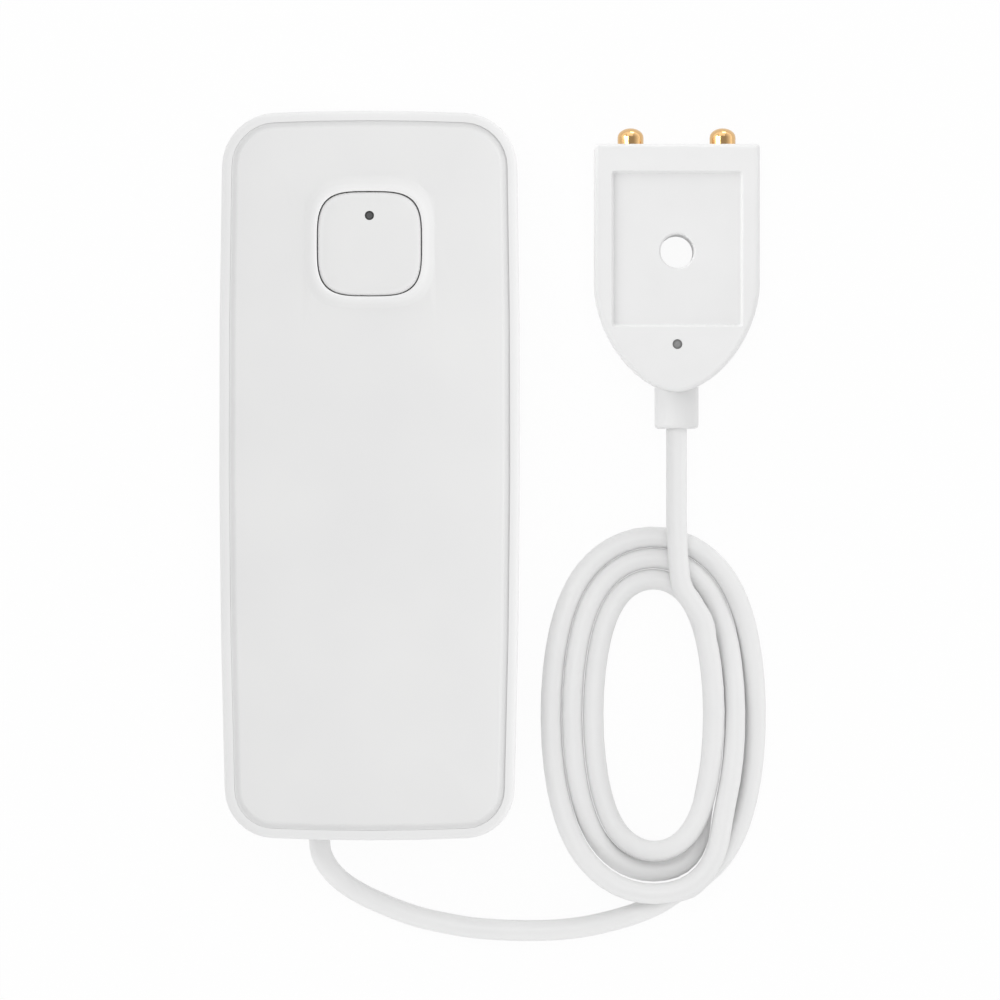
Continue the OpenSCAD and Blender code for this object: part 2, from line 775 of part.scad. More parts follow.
module probe_lens() {
    roof = probe_t - probe_cap;
    color(smoked)
        union() {
            bar(probe_x, lens_y, roof - 0.2, probe_t - 0.05, 1.15);
            bar(probe_x, lens_y, roof - 0.8, roof - 0.02, 2.2);
        }
}

module probe_board() {
    color(board_green)
        box(probe_x - 4, 14.6, probe_z - 1, probe_x + 4, 21.4, probe_z);
}

module probe_led() {
    color([0.95, 0.94, 0.86])
        box(probe_x - 0.8, lens_y - 0.5, probe_z, probe_x + 0.8, lens_y + 0.5, probe_z + 0.7);
}

// Two short wires from the cord's end to the small board and one from the board to each pin
module probe_wires() {
    z = probe_z + 0.5;
    for (s = [-1, 1]) {
        short = [[s * 0.6, collar_y + 7, probe_z], [s * 0.6, collar_y + 7.7, probe_z],
            [s * 1.3, 14.2, z], [s * 2, 15.4, z], [s * 2.3, 17, z]];
        long = [[s * 3.2, 18.6, z], [s * 3.5, 20.4, z], [s * 4.3, 22.4, z], [s * 4.7, 24.6, z],
            [s * 4.7, 27.4, probe_z + 0.3], [s * 5, 29.4, probe_z + 0.1],
            [s * pin_gap / 2, 31, probe_z], [s * pin_gap / 2, 32.4, probe_z]];
        color(s > 0 ? [0.10, 0.10, 0.11] : [0.80, 0.16, 0.14]) {
            tube([for (p = short) p + [probe_x, 0, 0]], 0.9, [0, 0, 1]);
            tube([for (p = long) p + [probe_x, 0, 0]], 0.9, [0, 0, 1]);
        }
    }
}

// Strain relief at the probe's tip, held by a waist between the two halves
module probe_collar() {
    r = collar_d / 2;
    bore = cord_r + 0.05;
    color([0.90, 0.90, 0.90])
        turned_y(probe_x, probe_z, [
            [bore, collar_y], [r - 0.4, collar_y], [r - 0.12, collar_y + 0.12], [r, collar_y + 0.4],
            [r, collar_lip], [2.1, collar_lip], [2.1, collar_lip + 1], [r, collar_lip + 1],
            [r, collar_lip + 2.3], [bore, collar_lip + 2.3]
        ]);
}

// Cord

module cord_lead() {
    start = coil_point(coil_from);
    p = concat(lead_points, [start - cord_d * coil_heading(coil_from), start]);
    color([0.91, 0.91, 0.91])
        tube(p, cord_d, [0, 0, 1]);
}

module cord_coil() {
    p = [for (u = coil_angles) coil_point(u)];
    t = concat([coil_heading(coil_from)], [for (i = [1 : coil_count - 1]) unit(p[i + 1] - p[i - 1])],
        [coil_heading(coil_to)]);
    ups = [for (h = t) square_to([0, 0, 1], h)];
    rings = tube_rings(p, t, ups, cord_r, 6, 30);
    near = [for (i = [0 : coil_count], j = [i + 1 : coil_count])
        if (j - i > coil_rings / 2 && norm(p[i] - p[j]) < 3 * cord_d)
            min([for (a = rings[i], b = rings[j]) norm(a - b)])];
    echo(least_gap_between_turns = min(near));
    color([0.91, 0.91, 0.91])
        loft(rings);
}

module cord_tail() {
    finish = coil_point(coil_to);
    p = concat([finish, finish + cord_d * coil_heading(coil_to)], tail_points);
    color([0.91, 0.91, 0.91])
        tube(p, cord_d, [0, 0, 1]);
}

back_housing();
front_cover();
perimeter_seal();
button();
light_pipe();
main_board();
tact_switch();
switch_plunger();
status_led();
radio_module();
board_components();
probe_header();
probe_plug();
lead_wires();
cell_left();
cell_right();
contact_positive();
contact_negative();
contact_bridge();
cable_grommet();
board_screws();
adhesive_pad();
probe_front();
probe_back();
probe_pin_left();
probe_pin_right();
probe_lens();
probe_board();
probe_led();
probe_wires();
probe_collar();
cord_lead();
cord_coil();
cord_tail();
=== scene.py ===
import cmath
import math
import bpy
import bmesh
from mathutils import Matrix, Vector


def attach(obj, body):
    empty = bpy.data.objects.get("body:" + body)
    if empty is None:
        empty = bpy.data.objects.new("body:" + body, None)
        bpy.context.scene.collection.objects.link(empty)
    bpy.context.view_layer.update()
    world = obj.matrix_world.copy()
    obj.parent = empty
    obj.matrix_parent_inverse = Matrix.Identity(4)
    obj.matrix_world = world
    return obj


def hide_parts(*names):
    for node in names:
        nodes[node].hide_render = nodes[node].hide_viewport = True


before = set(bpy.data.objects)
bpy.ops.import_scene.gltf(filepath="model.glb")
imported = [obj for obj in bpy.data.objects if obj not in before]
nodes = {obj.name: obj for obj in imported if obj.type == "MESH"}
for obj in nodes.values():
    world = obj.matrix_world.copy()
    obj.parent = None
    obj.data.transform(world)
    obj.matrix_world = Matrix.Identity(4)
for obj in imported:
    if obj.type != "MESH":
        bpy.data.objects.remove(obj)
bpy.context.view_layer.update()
mm = 0.001
print("frame loaded:", len(nodes), "nodes")

# camera straight above the unit and its probe, focal length as a share of the picture's width
cameraSet = {"at": (15.72, -2.95, 800.0), "focal": 6.482, "sensor": 36.0}


def makeCamera(c):
    data = bpy.data.cameras.new("topCamera")
    data.sensor_width = c["sensor"]
    data.lens = c["focal"] * c["sensor"]
    data.clip_start, data.clip_end = 0.01, 20.0
    cam = bpy.data.objects.new("topCamera", data)
    cam.location = Vector(c["at"]) * mm
    bpy.context.scene.collection.objects.link(cam)
    bpy.context.scene.camera = cam


makeCamera(cameraSet)
bpy.context.scene.view_settings.view_transform = "Standard"
print("camera set")


# shader building blocks

def addNode(tree, kind, inputs=None, **props):
    node = tree.nodes.new(kind)
    for key, value in props.items():
        setattr(node, key, value)
    for key, value in (inputs or {}).items():
        if isinstance(value, bpy.types.NodeSocket):
            tree.links.new(value, node.inputs[key])
        else:
            node.inputs[key].default_value = value
    return node


def mathNode(tree, operation, a, b=0.0):
    return addNode(tree, "ShaderNodeMath", {0: a, 1: b}, operation=operation).outputs[0]


def mixColour(tree, fac, a, b):
    node = addNode(tree, "ShaderNodeMix", data_type="RGBA")
    for index, value in ((0, fac), (6, a), (7, b)):
        if isinstance(value, bpy.types.NodeSocket):
            tree.links.new(value, node.inputs[index])
        else:
            node.inputs[index].default_value = value if index == 0 else (*value, 1.0)
    return node.outputs[2]


def spread(tree, value, low, high, fromLow=0.3, fromHigh=0.7):
    node = addNode(tree, "ShaderNodeMapRange", {0: value, 1: fromLow, 2: fromHigh, 3: low, 4: high})
    return node.outputs[0]


def makeGroup(name, inputs, outputs):
    tree = bpy.data.node_groups.new(name, "ShaderNodeTree")
    for label, value in inputs:
        socket = tree.interface.new_socket(label, in_out="INPUT", socket_type="NodeSocketFloat")
        socket.default_value = value
    for label in outputs:
        tree.interface.new_socket(label, in_out="OUTPUT", socket_type="NodeSocketFloat")
    return tree, tree.nodes.new("NodeGroupInput"), tree.nodes.new("NodeGroupOutput")


def millimetres(tree):
    place = addNode(tree, "ShaderNodeTexCoord")
    return addNode(tree, "ShaderNodeVectorMath", {0: place.outputs["Object"], "Scale": 1000.0},
                   operation="SCALE").outputs[0]


# fine moulding grain with slow clouds of tone, sizes in millimetres
def makeMouldGrain():
    tree, inside, outside = makeGroup("mouldGrain", [("Grain", 0.2), ("Cloud", 12.0)], ["Height", "Cloud"])
    place = millimetres(tree)
    fine = addNode(tree, "ShaderNodeTexNoise", {
        "Vector": place, "Scale": mathNode(tree, "DIVIDE", 1.0, inside.outputs["Grain"]),
        "Detail": 3.0, "Roughness": 0.6})
    slow = addNode(tree, "ShaderNodeTexNoise", {
        "Vector": place, "Scale": mathNode(tree, "DIVIDE", 1.0, inside.outputs["Cloud"]),
        "Detail": 2.0, "Roughness": 0.5})
    tree.links.new(fine.outputs[0], outside.inputs["Height"])
    tree.links.new(slow.outputs[0], outside.inputs["Cloud"])
    return tree


# fine rings left by turning or winding, stretched around the piece's own Y axis
def makeTurnedRings():
    tree, inside, outside = makeGroup("turnedRings", [("Pitch", 0.15), ("Wobble", 0.3)], ["Height", "Band"])
    place = millimetres(tree)
    stretch = addNode(tree, "ShaderNodeVectorMath", {0: place, 1: (0.05, 1.0, 0.05)}, operation="MULTIPLY")
    lines = addNode(tree, "ShaderNodeTexNoise", {
        "Vector": stretch.outputs[0], "Scale": mathNode(tree, "DIVIDE", 1.0, inside.outputs["Pitch"]),
        "Detail": 2.0, "Distortion": inside.outputs["Wobble"]})
    slow = addNode(tree, "ShaderNodeTexNoise", {"Vector": place, "Scale": 0.6, "Detail": 2.0})
    tree.links.new(lines.outputs[0], outside.inputs["Height"])
    tree.links.new(slow.outputs[0], outside.inputs["Band"])
    return tree


# copper lines under the solder mask: rows and columns that break off where a noise is low
def makeCopperLines():
    tree, inside, outside = makeGroup("copperLines", [("Pitch", 0.8), ("Share", 0.5)], ["Mask"])
    parts = addNode(tree, "ShaderNodeSeparateXYZ", {0: millimetres(tree)})
    masks = []
    for along, across in (("X", "Y"), ("Y", "X")):
        step = mathNode(tree, "DIVIDE", parts.outputs[across], inside.outputs["Pitch"])
        offset = mathNode(tree, "ABSOLUTE", mathNode(tree, "SUBTRACT", mathNode(tree, "FRACT", step), 0.5))
        line = mathNode(tree, "LESS_THAN", offset, 0.17)
        spot = addNode(tree, "ShaderNodeCombineXYZ", {
            "X": mathNode(tree, "MULTIPLY", parts.outputs[along], 0.16),
            "Y": mathNode(tree, "MULTIPLY", mathNode(tree, "FLOOR", step), 3.7)})
        noise = addNode(tree, "ShaderNodeTexNoise", {"Vector": spot.outputs[0], "Scale": 1.0, "Detail": 0.0})
        shown = mathNode(tree, "GREATER_THAN", noise.outputs[0], inside.outputs["Share"])
        masks.append(mathNode(tree, "MULTIPLY", line, shown))
    tree.links.new(mathNode(tree, "MAXIMUM", masks[0], masks[1]), outside.inputs["Mask"])
    return tree


mouldGrain = makeMouldGrain()
turnedRings = makeTurnedRings()
copperLines = makeCopperLines()


def newMaterial(name):
    mat = bpy.data.materials.new(name)
    mat.use_nodes = True
    return mat, mat.node_tree, mat.node_tree.nodes["Principled BSDF"]


# masks for parts of one surface: a square ring that paints highlight, a round dot that paints shade

def squareHighlightMask(r):
    def build(tree):
        parts = addNode(tree, "ShaderNodeSeparateXYZ", {0: millimetres(tree)})
        offset = mathNode(tree, "SUBTRACT", parts.outputs["Y"], r["y"])
        powers = [mathNode(tree, "POWER", mathNode(tree, "ABSOLUTE", side), r["square"])
                  for side in (parts.outputs["X"], offset)]
        reach = mathNode(tree, "POWER", mathNode(tree, "ADD", powers[0], powers[1]), 1 / r["square"])
        return spread(tree, reach, 0.0, 1.0, r["none"], r["full"])
    return build


# lighter centre fading to the darker base tone towards the rim: the dark rim is painted shade
def windowShadeMask(dot):
    def build(tree):
        place = addNode(tree, "ShaderNodeVectorMath", {0: millimetres(tree), 1: (*dot["at"], 0.0)},
                        operation="SUBTRACT")
        flat = addNode(tree, "ShaderNodeVectorMath", {0: place.outputs[0], 1: (1.0, 1.0, 0.0)},
                       operation="MULTIPLY")
        far = addNode(tree, "ShaderNodeVectorMath", {0: flat.outputs[0]}, operation="LENGTH")
        return spread(tree, far.outputs["Value"], 1.0, 0.0, dot["inner"], dot["outer"])
    return build


traceSet = {"pitch": 0.8, "share": 0.5}


def lineMask(tree):
    lines = addNode(tree, "ShaderNodeGroup", node_tree=copperLines)
    lines.inputs["Pitch"].default_value = traceSet["pitch"]
    lines.inputs["Share"].default_value = traceSet["share"]
    return lines.outputs["Mask"]


# moulded plastic or rubber: two close tones, grain in the bump, slow change of gloss
def mouldedMaterial(name, look, mask=None):
    mat, tree, shader = newMaterial(name)
    grain = addNode(tree, "ShaderNodeGroup", node_tree=mouldGrain)
    grain.inputs["Grain"].default_value = look["grain"]
    grain.inputs["Cloud"].default_value = look["cloud"]
    tone = mixColour(tree, spread(tree, grain.outputs["Cloud"], 0.0, 1.0), look["low"], look["high"])
    # the masked third tone: painted highlight on the button ring and edge, painted shade on the lamp windows,
    # copper lines on the boards
    if mask:
        tone = mixColour(tree, mask(tree), tone, look["masked"])
    tree.links.new(tone, shader.inputs["Base Color"])
    gloss = mathNode(tree, "ADD", spread(tree, grain.outputs["Cloud"], look["rough"][0], look["rough"][1]),
                     spread(tree, grain.outputs["Height"], -0.03, 0.03))
    tree.links.new(gloss, shader.inputs["Roughness"])
    bump = addNode(tree, "ShaderNodeBump", {
        "Strength": look["bump"], "Distance": look["depth"] * mm, "Height": grain.outputs["Height"]})
    tree.links.new(bump.outputs[0], shader.inputs["Normal"])
    return mat


# plated metal with fine rings
def platedMaterial(name, look):
    mat, tree, shader = newMaterial(name)
    rings = addNode(tree, "ShaderNodeGroup", node_tree=turnedRings)
    rings.inputs["Pitch"].default_value = look["pitch"]
    rings.inputs["Wobble"].default_value = look["wobble"]
    tone = mixColour(tree, spread(tree, rings.outputs["Band"], 0.0, 1.0), look["low"], look["high"])
    tree.links.new(tone, shader.inputs["Base Color"])
    gloss = mathNode(tree, "ADD", spread(tree, rings.outputs["Band"], look["rough"][0], look["rough"][1]),
                     spread(tree, rings.outputs["Height"], -0.02, 0.02))
    tree.links.new(gloss, shader.inputs["Roughness"])
    bump = addNode(tree, "ShaderNodeBump", {
        "Strength": look["bump"], "Distance": look["depth"] * mm, "Height": rings.outputs["Height"]})
    tree.links.new(bump.outputs[0], shader.inputs["Normal"])
    shader.inputs["Metallic"].default_value = 1.0
    return mat


def grey(value):
    return (value, value, value)


# painted highlights: a lighter ring on the cover around the button and a lighter band on the button's own
# edge; painted shade: the two lamp windows darker towards their rims
ringHighlightSet = {"y": 27.9, "square": 3.6, "full": 6.55, "none": 7.35}
buttonEdgeHighlightSet = {**ringHighlightSet, "full": 6.1, "none": 5.5}
buttonWindowShade = {"at": (0.0, 31.3), "inner": 0.28, "outer": 0.44}
probeWindowShade = {"at": (37.4, 16.1), "inner": 0.25, "outer": 0.55}

whiteLook = {"low": grey(0.80), "high": (0.822, 0.822, 0.819), "rough": (0.42, 0.5), "grain": 0.16,
             "cloud": 14.0, "bump": 0.04, "depth": 0.006}
blackLook = {**whiteLook, "low": (0.012, 0.012, 0.013), "high": (0.02, 0.02, 0.021),
             "rough": (0.4, 0.5), "cloud": 3.0}
boardLook = {**whiteLook, "low": (0.006, 0.07, 0.025), "high": (0.01, 0.10, 0.035),
             "masked": (0.018, 0.15, 0.05), "rough": (0.25, 0.35), "grain": 0.5}
wireLook = {**whiteLook, "low": (0.45, 0.02, 0.015), "high": (0.55, 0.03, 0.02),
            "rough": (0.3, 0.4), "cloud": 3.0}
lensLook = {**whiteLook, "low": grey(0.02), "high": grey(0.026), "masked": (0.085, 0.085, 0.087),
            "rough": (0.2, 0.3), "cloud": 0.8}

whitePlastic = mouldedMaterial("whitePlastic", {**whiteLook, "low": grey(0.822), "high": grey(0.842)})
# the cover is lighter in a ring round the button: painted highlight on the ring's crest
coverPlastic = mouldedMaterial("coverPlastic", {**whiteLook, "masked": grey(0.88)}, squareHighlightMask(ringHighlightSet))
probePlastic = mouldedMaterial("probePlastic", {**whiteLook, "low": grey(0.83), "high": grey(0.85),
                                                "cloud": 8.0})
# the button is lighter in a band along its edge: painted highlight
buttonPlastic = mouldedMaterial("buttonPlastic", {**whiteLook, "rough": (0.36, 0.42), "grain": 0.12,
                                                  "masked": grey(0.86)}, squareHighlightMask(buttonEdgeHighlightSet))
sealRubber = mouldedMaterial("sealRubber", {**whiteLook, "low": grey(0.79), "high": grey(0.81),
                                            "rough": (0.6, 0.7), "grain": 0.3})
paleRubber = mouldedMaterial("paleRubber", {**whiteLook, "low": grey(0.78), "high": grey(0.81),
                                            "rough": (0.5, 0.6), "grain": 0.25, "cloud": 5.0})
# the lamp windows are darker round their rims: painted shade of the gap in the hole
buttonLens = mouldedMaterial("buttonLens", lensLook, windowShadeMask(buttonWindowShade))
probeLens = mouldedMaterial("probeLens", {**lensLook, "low": grey(0.13), "high": grey(0.15),
                                          "masked": grey(0.27)}, windowShadeMask(probeWindowShade))
blackMould = mouldedMaterial("blackMould", blackLook)
lampResin = mouldedMaterial("lampResin", {**whiteLook, "low": (0.80, 0.74, 0.42),
                                          "high": (0.86, 0.82, 0.60), "rough": (0.15, 0.25), "cloud": 0.8})
ivoryNylon = mouldedMaterial("ivoryNylon", {**whiteLook, "low": (0.74, 0.71, 0.62),
                                            "high": (0.80, 0.77, 0.69), "cloud": 4.0})
foamPad = mouldedMaterial("foamPad", {**whiteLook, "low": (0.66, 0.66, 0.65), "high": (0.74, 0.74, 0.73),
                                      "rough": (0.6, 0.8), "grain": 0.6, "bump": 0.4, "depth": 0.08})
boardGreen = mouldedMaterial("boardGreen", boardLook, lineMask)
tanCeramic = mouldedMaterial("tanCeramic", {**whiteLook, "low": (0.30, 0.19, 0.10),
                                            "high": (0.38, 0.25, 0.14), "cloud": 1.0})
wireRed = mouldedMaterial("wireRed", wireLook)
wireBlack = mouldedMaterial("wireBlack", {**blackLook, "rough": (0.3, 0.4)})
cordJacket = mouldedMaterial("cordJacket", {**whiteLook, "low": grey(0.81), "high": (0.83, 0.83, 0.828),
                                            "rough": (0.38, 0.46), "grain": 0.2, "cloud": 9.0})
goldPlate = platedMaterial("goldPlate", {"low": (0.70, 0.435, 0.19), "high": (0.75, 0.485, 0.23),
                                         "rough": (0.13, 0.17), "pitch": 0.12, "wobble": 0.2,
                                         "bump": 0.03, "depth": 0.004})
nickelPlate = platedMaterial("nickelPlate", {"low": (0.56, 0.56, 0.55), "high": (0.63, 0.63, 0.62),
                                             "rough": (0.24, 0.32), "pitch": 0.25, "wobble": 0.4,
                                             "bump": 0.05, "depth": 0.004})
cellJacket = platedMaterial("cellJacket", {"low": (0.42, 0.43, 0.45), "high": (0.50, 0.51, 0.53),
                                           "rough": (0.32, 0.4), "pitch": 0.5, "wobble": 0.3,
                                           "bump": 0.08, "depth": 0.004})
cellBand = platedMaterial("cellBand", {"low": (0.05, 0.06, 0.08), "high": (0.07, 0.08, 0.10),
                                       "rough": (0.34, 0.42), "pitch": 0.5, "wobble": 0.3,
                                       "bump": 0.08, "depth": 0.004})
print("materials ready")


# finish of each CAD node: its material, the angle above which an edge stays crisp,
# the width of eased edges, and how far the skin swells to close a hairline gap
nodeFinish = {
    "back_housing": (whitePlastic, 32, 0), "front_cover": (coverPlastic, 32, 0),
    "button": (buttonPlastic, 35, 0, 0.03), "light_pipe": (buttonLens, 35, 0),
    "main_board": (boardGreen, 35, 0), "tact_switch": (blackMould, 35, 0.08),
    "switch_plunger": (blackMould, 35, 0.12), "status_led": (lampResin, 35, 0.08),
    "radio_module": (nickelPlate, 35, 0.1), "board_components": (blackMould, 35, 0.06),
    "probe_header": (ivoryNylon, 35, 0.1), "probe_plug": (ivoryNylon, 35, 0.1),
    "contact_positive": (nickelPlate, 35, 0.06), "contact_negative": (nickelPlate, 62, 0),
    "contact_bridge": (nickelPlate, 62, 0), "cable_grommet": (paleRubber, 35, 0),
    "board_screws": (nickelPlate, 35, 0.05), "adhesive_pad": (foamPad, 35, 0.1),
    "probe_front": (probePlastic, 33, 0.16), "probe_back": (probePlastic, 33, 0),
    "probe_pin_left": (goldPlate, 35, 0), "probe_pin_right": (goldPlate, 35, 0),
    "probe_lens": (probeLens, 35, 0), "probe_board": (boardGreen, 35, 0),
    "probe_led": (lampResin, 35, 0.08), "probe_collar": (paleRubber, 35, 0),
}


def addModifier(obj, name, kind, **values):
    mod = obj.modifiers.new(name, kind)
    for key, value in values.items():
        setattr(mod, key, value)


def dressNode(name, material, angle, ease, swell=0):
    obj = nodes[name]
    mesh = obj.data
    for extra in ("custom_normal", "sharp_edge", "sharp_face"):
        if extra in mesh.attributes:
            mesh.attributes.remove(mesh.attributes[extra])
    mesh.shade_smooth()
    mesh.materials.clear()
    mesh.materials.append(material)
    addModifier(obj, "weld", "WELD", merge_threshold=0.002 * mm)
    if swell:
        addModifier(obj, "swell", "DISPLACE", strength=swell * mm, mid_level=0.0)
    if ease:
        addModifier(obj, "flatFaces", "DECIMATE", decimate_type="DISSOLVE", angle_limit=math.radians(1),
                    delimit={"MATERIAL"})
        addModifier(obj, "easedEdges", "BEVEL", width=ease * mm, segments=2, limit_method="ANGLE",
                    angle_limit=math.radians(angle))
    elif angle:
        addModifier(obj, "crispEdges", "EDGE_SPLIT", split_angle=math.radians(angle), use_edge_sharp=False)
    addModifier(obj, "evenShade", "WEIGHTED_NORMAL", weight=80, keep_sharp=False)


for name, finish in nodeFinish.items():
    dressNode(name, *finish)
print("nodes dressed:", len(nodeFinish))


# second materials on parts of a node, chosen by a face's centre in millimetres and its normal
def paintFaces(name, material, chosen):
    mesh = nodes[name].data
    mesh.materials.append(material)
    slot = len(mesh.materials) - 1
    for face in mesh.polygons:
        if chosen(face.center / mm, face.normal):
            face.material_index = slot


boardSet = {"top": 10.0, "moduleTop": 10.8, "switchTop": 13.5, "legTop": 10.35, "slack": 0.01,
            "farChips": 37.5, "nearChips": 18.1, "facing": 0.9}


def isModuleBoard(c, n):
    return c.z < boardSet["moduleTop"] + boardSet["slack"]


def isSwitchMetal(c, n):
    plate = c.z > boardSet["switchTop"] - boardSet["slack"] and n.z > boardSet["facing"]
    return c.z < boardSet["legTop"] or plate


def isCeramic(c, n):
    return c.y > boardSet["farChips"] or c.y < boardSet["nearChips"]


def isChipEnd(c, n):
    far = c.y > boardSet["farChips"] and abs(n.y) > boardSet["facing"]
    near = c.y < boardSet["nearChips"] and abs(n.x) > boardSet["facing"]
    return far or near


paintFaces("radio_module", boardGreen, isModuleBoard)
paintFaces("tact_switch", nickelPlate, isSwitchMetal)
paintFaces("board_components", tanCeramic, isCeramic)
paintFaces("board_components", nickelPlate, isChipEnd)


# wires: each one is an island of faces, and the half of them that lies higher on an axis is red
def islandsOf(mesh):
    keys = [tuple(round(c * 1e6) for c in v.co) for v in mesh.vertices]
    root = {key: key for key in keys}

    def find(key):
        while root[key] != key:
            key = root[key]
        return key

    for face in mesh.polygons:
        first = find(keys[face.vertices[0]])
        for v in face.vertices[1:]:
            root[find(keys[v])] = first
    return [find(keys[face.vertices[0]]) for face in mesh.polygons]


def dressWires(name, axis):
    obj = nodes[name]
    mesh = obj.data
    dressNode(name, wireBlack, 0, 0)
    mesh.materials.append(wireRed)
    islands = islandsOf(mesh)
    centres = {}
    for face, island in zip(mesh.polygons, islands):
        centres.setdefault(island, []).append(face.center[axis])
    order = sorted(centres, key=lambda island: sum(centres[island]) / len(centres[island]))
    red = order[len(order) // 2:]
    for face, island in zip(mesh.polygons, islands):
        face.material_index = 1 if island in red else 0
    print(name, "wires:", len(centres), "red:", len(red))
    addModifier(obj, "roundWire", "SUBSURF", levels=1, render_levels=1)


dressWires("lead_wires", 2)
dressWires("probe_wires", 0)


# pieces built here

def addPiece(name, bm, materials, node, replaced=()):
    bmesh.ops.recalc_face_normals(bm, faces=bm.faces)
    mesh = bpy.data.meshes.new(name)
    bm.to_mesh(mesh)
    bm.free()
    mesh.shade_smooth()
    mesh.set_sharp_from_angle(angle=math.radians(35))
    for material in materials:
        mesh.materials.append(material)
    piece = bpy.data.objects.new(name, mesh)
    bpy.context.scene.collection.objects.link(piece)
    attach(piece, node)
    if replaced:
        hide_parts(*replaced)
    return piece


# turned piece along Y: profile of (radius, along, material of the stretch that follows)
def latheY(bm, profile, x, y, z, way, sides):
    rings = []
    for radius, along, _ in profile:
        count = sides if radius else 1
        rings.append([bm.verts.new(Vector((x + radius * math.cos(2 * math.pi * i / sides), y + way * along,
                                           z + radius * math.sin(2 * math.pi * i / sides))) * mm)
                      for i in range(count)])
    for (a, b), (_, _, index) in zip(zip(rings, rings[1:]), profile):
        for i in range(sides):
            j = (i + 1) % sides
            corners = [a[i % len(a)], a[j % len(a)], b[j % len(b)], b[i % len(b)]]
            face = bm.faces.new(list(dict.fromkeys(corners)))
            face.material_index = index


# the two cells: steel base, satin jacket with a dark band, insulating ring and nub
cellSet = {"z": 7.8, "sides": 64,
           "profile": [(0, 0.1, 1), (3.2, 0.1, 1), (3.5, 0, 1), (4.5, 0, 0), (5.02, 0.14, 0), (5.24, 0.55, 0),
                       (5.24, 33, 2), (5.24, 42.95, 2), (5.02, 43.46, 2), (4.5, 43.66, 3), (2.6, 43.66, 3),
                       (2.4, 43.5, 1), (1.78, 43.5, 1), (1.78, 44.2, 1), (1.5, 44.48, 1), (0, 44.48, 1)],
           "places": {"cell_left": (-5.6, -30.24, 1), "cell_right": (5.6, 10.74, -1)}}
cellMaterials = [cellJacket, nickelPlate, cellBand, blackMould]
for node, (x, y, way) in cellSet["places"].items():
    bm = bmesh.new()
    latheY(bm, cellSet["profile"], x, y, cellSet["z"], way, cellSet["sides"])
    addPiece("cellLeft" if way > 0 else "cellRight", bm, cellMaterials, "base", (node,))
print("cells turned")

# the seal's ring: bowed sides with tangent corners, swept with a lipped section of (inset, height)
sealSet = {"side": complex(-1444.85, 6.2), "sideBow": 1463.0, "top": -226j, "bottom": 226j, "endBow": 270.0,
           "cornerTop": 6.6, "cornerBottom": 6.0,
           "section": [(1.25, 16.65), (1.25, 18.4), (1.21, 18.56), (1.215, 18.66), (1.34, 18.67),
                       (1.47, 18.7), (1.6, 18.75), (1.72, 18.82), (1.84, 18.87), (1.75, 18.6),
                       (1.62, 18.3), (1.6, 17.42), (2.3, 17.4), (2.3, 16.65)]}


def touchPoint(c1, r1, c2, r2, side):
    gap = c2 - c1
    far = abs(gap)
    along = (r1 * r1 - r2 * r2 + far * far) / (2 * far)
    return c1 + gap / far * complex(along, side * math.sqrt(r1 * r1 - along * along))


def arcPoints(centre, radius, start, stop, picks, count):
    return [centre + cmath.rect(radius, start + (stop - start) * i / count) for i in picks]


def unitOutline(inset):
    s = sealSet
    sideR, endR = s["sideBow"] - inset, s["endBow"] - inset
    topR, lowR = s["cornerTop"] - inset, s["cornerBottom"] - inset
    topC = touchPoint(s["side"], sideR - topR, s["top"], endR - topR, 1)
    lowC = touchPoint(s["side"], sideR - lowR, s["bottom"], endR - lowR, -1)
    turns = [-math.pi / 2, cmath.phase(lowC - s["bottom"]), cmath.phase(lowC - s["side"]),
             cmath.phase(topC - s["side"]), cmath.phase(topC - s["top"]), math.pi / 2]
    half = arcPoints(s["bottom"], endR, turns[0], turns[1], range(0, 2), 2)
    half += arcPoints(lowC, lowR, turns[1], turns[2], range(0, 9), 8)
    half += arcPoints(s["side"], sideR, turns[2], turns[3], range(1, 4), 4)
    half += arcPoints(topC, topR, turns[3], turns[4], range(0, 9), 8)
    half += arcPoints(s["top"], endR, turns[4], turns[5], range(1, 3), 2)
    return half + [complex(-p.real, p.imag) for p in half[-2:0:-1]]


def makeSeal():
    bm = bmesh.new()
    rings = [[bm.verts.new(Vector((p.real, p.imag, z)) * mm) for p in unitOutline(inset)]
             for inset, z in sealSet["section"]]
    for low, high in zip(rings, rings[1:] + rings[:1]):
        for i in range(len(low)):
            j = (i + 1) % len(low)
            bm.faces.new((low[i], low[j], high[j], high[i]))
    addPiece("sealRing", bm, [sealRubber], "cover", ("perimeter_seal",))


makeSeal()
print("seal swept")

# solder pads on the main board: rows of (x, y, step x, step y, count, width, length)
padSet = {"lift": 0.07, "clear": 0.01, "rows": [
    (3.72, 22.6, 0, 1.9, 7, 0.7, 0.9), (14.35, 22.6, 0, 1.9, 4, 0.25, 0.9),
    (-14.3, 22.9, 0, 0.75, 4, 0.35, 0.35), (-10.45, 22.9, 0, 0.75, 4, 0.35, 0.35),
    (-3.9, 23.8, 0, 4.4, 2, 0.5, 1.1), (-9.2, 31.2, 2, 0, 4, 0.9, 1.3), (-13.2, 28.2, 0, 1.6, 4, 0.8, 0.8),
    (5.3, 18.2, 0, 3, 2, 3.4, 0.35), (-0.6, 33.4, 1.2, 0, 2, 0.6, 0.8), (-7.2, 38.1, 0, 1.8, 2, 1.1, 0.6),
    (-3.4, 36.0, 1.7, 0, 5, 0.6, 0.6)]}


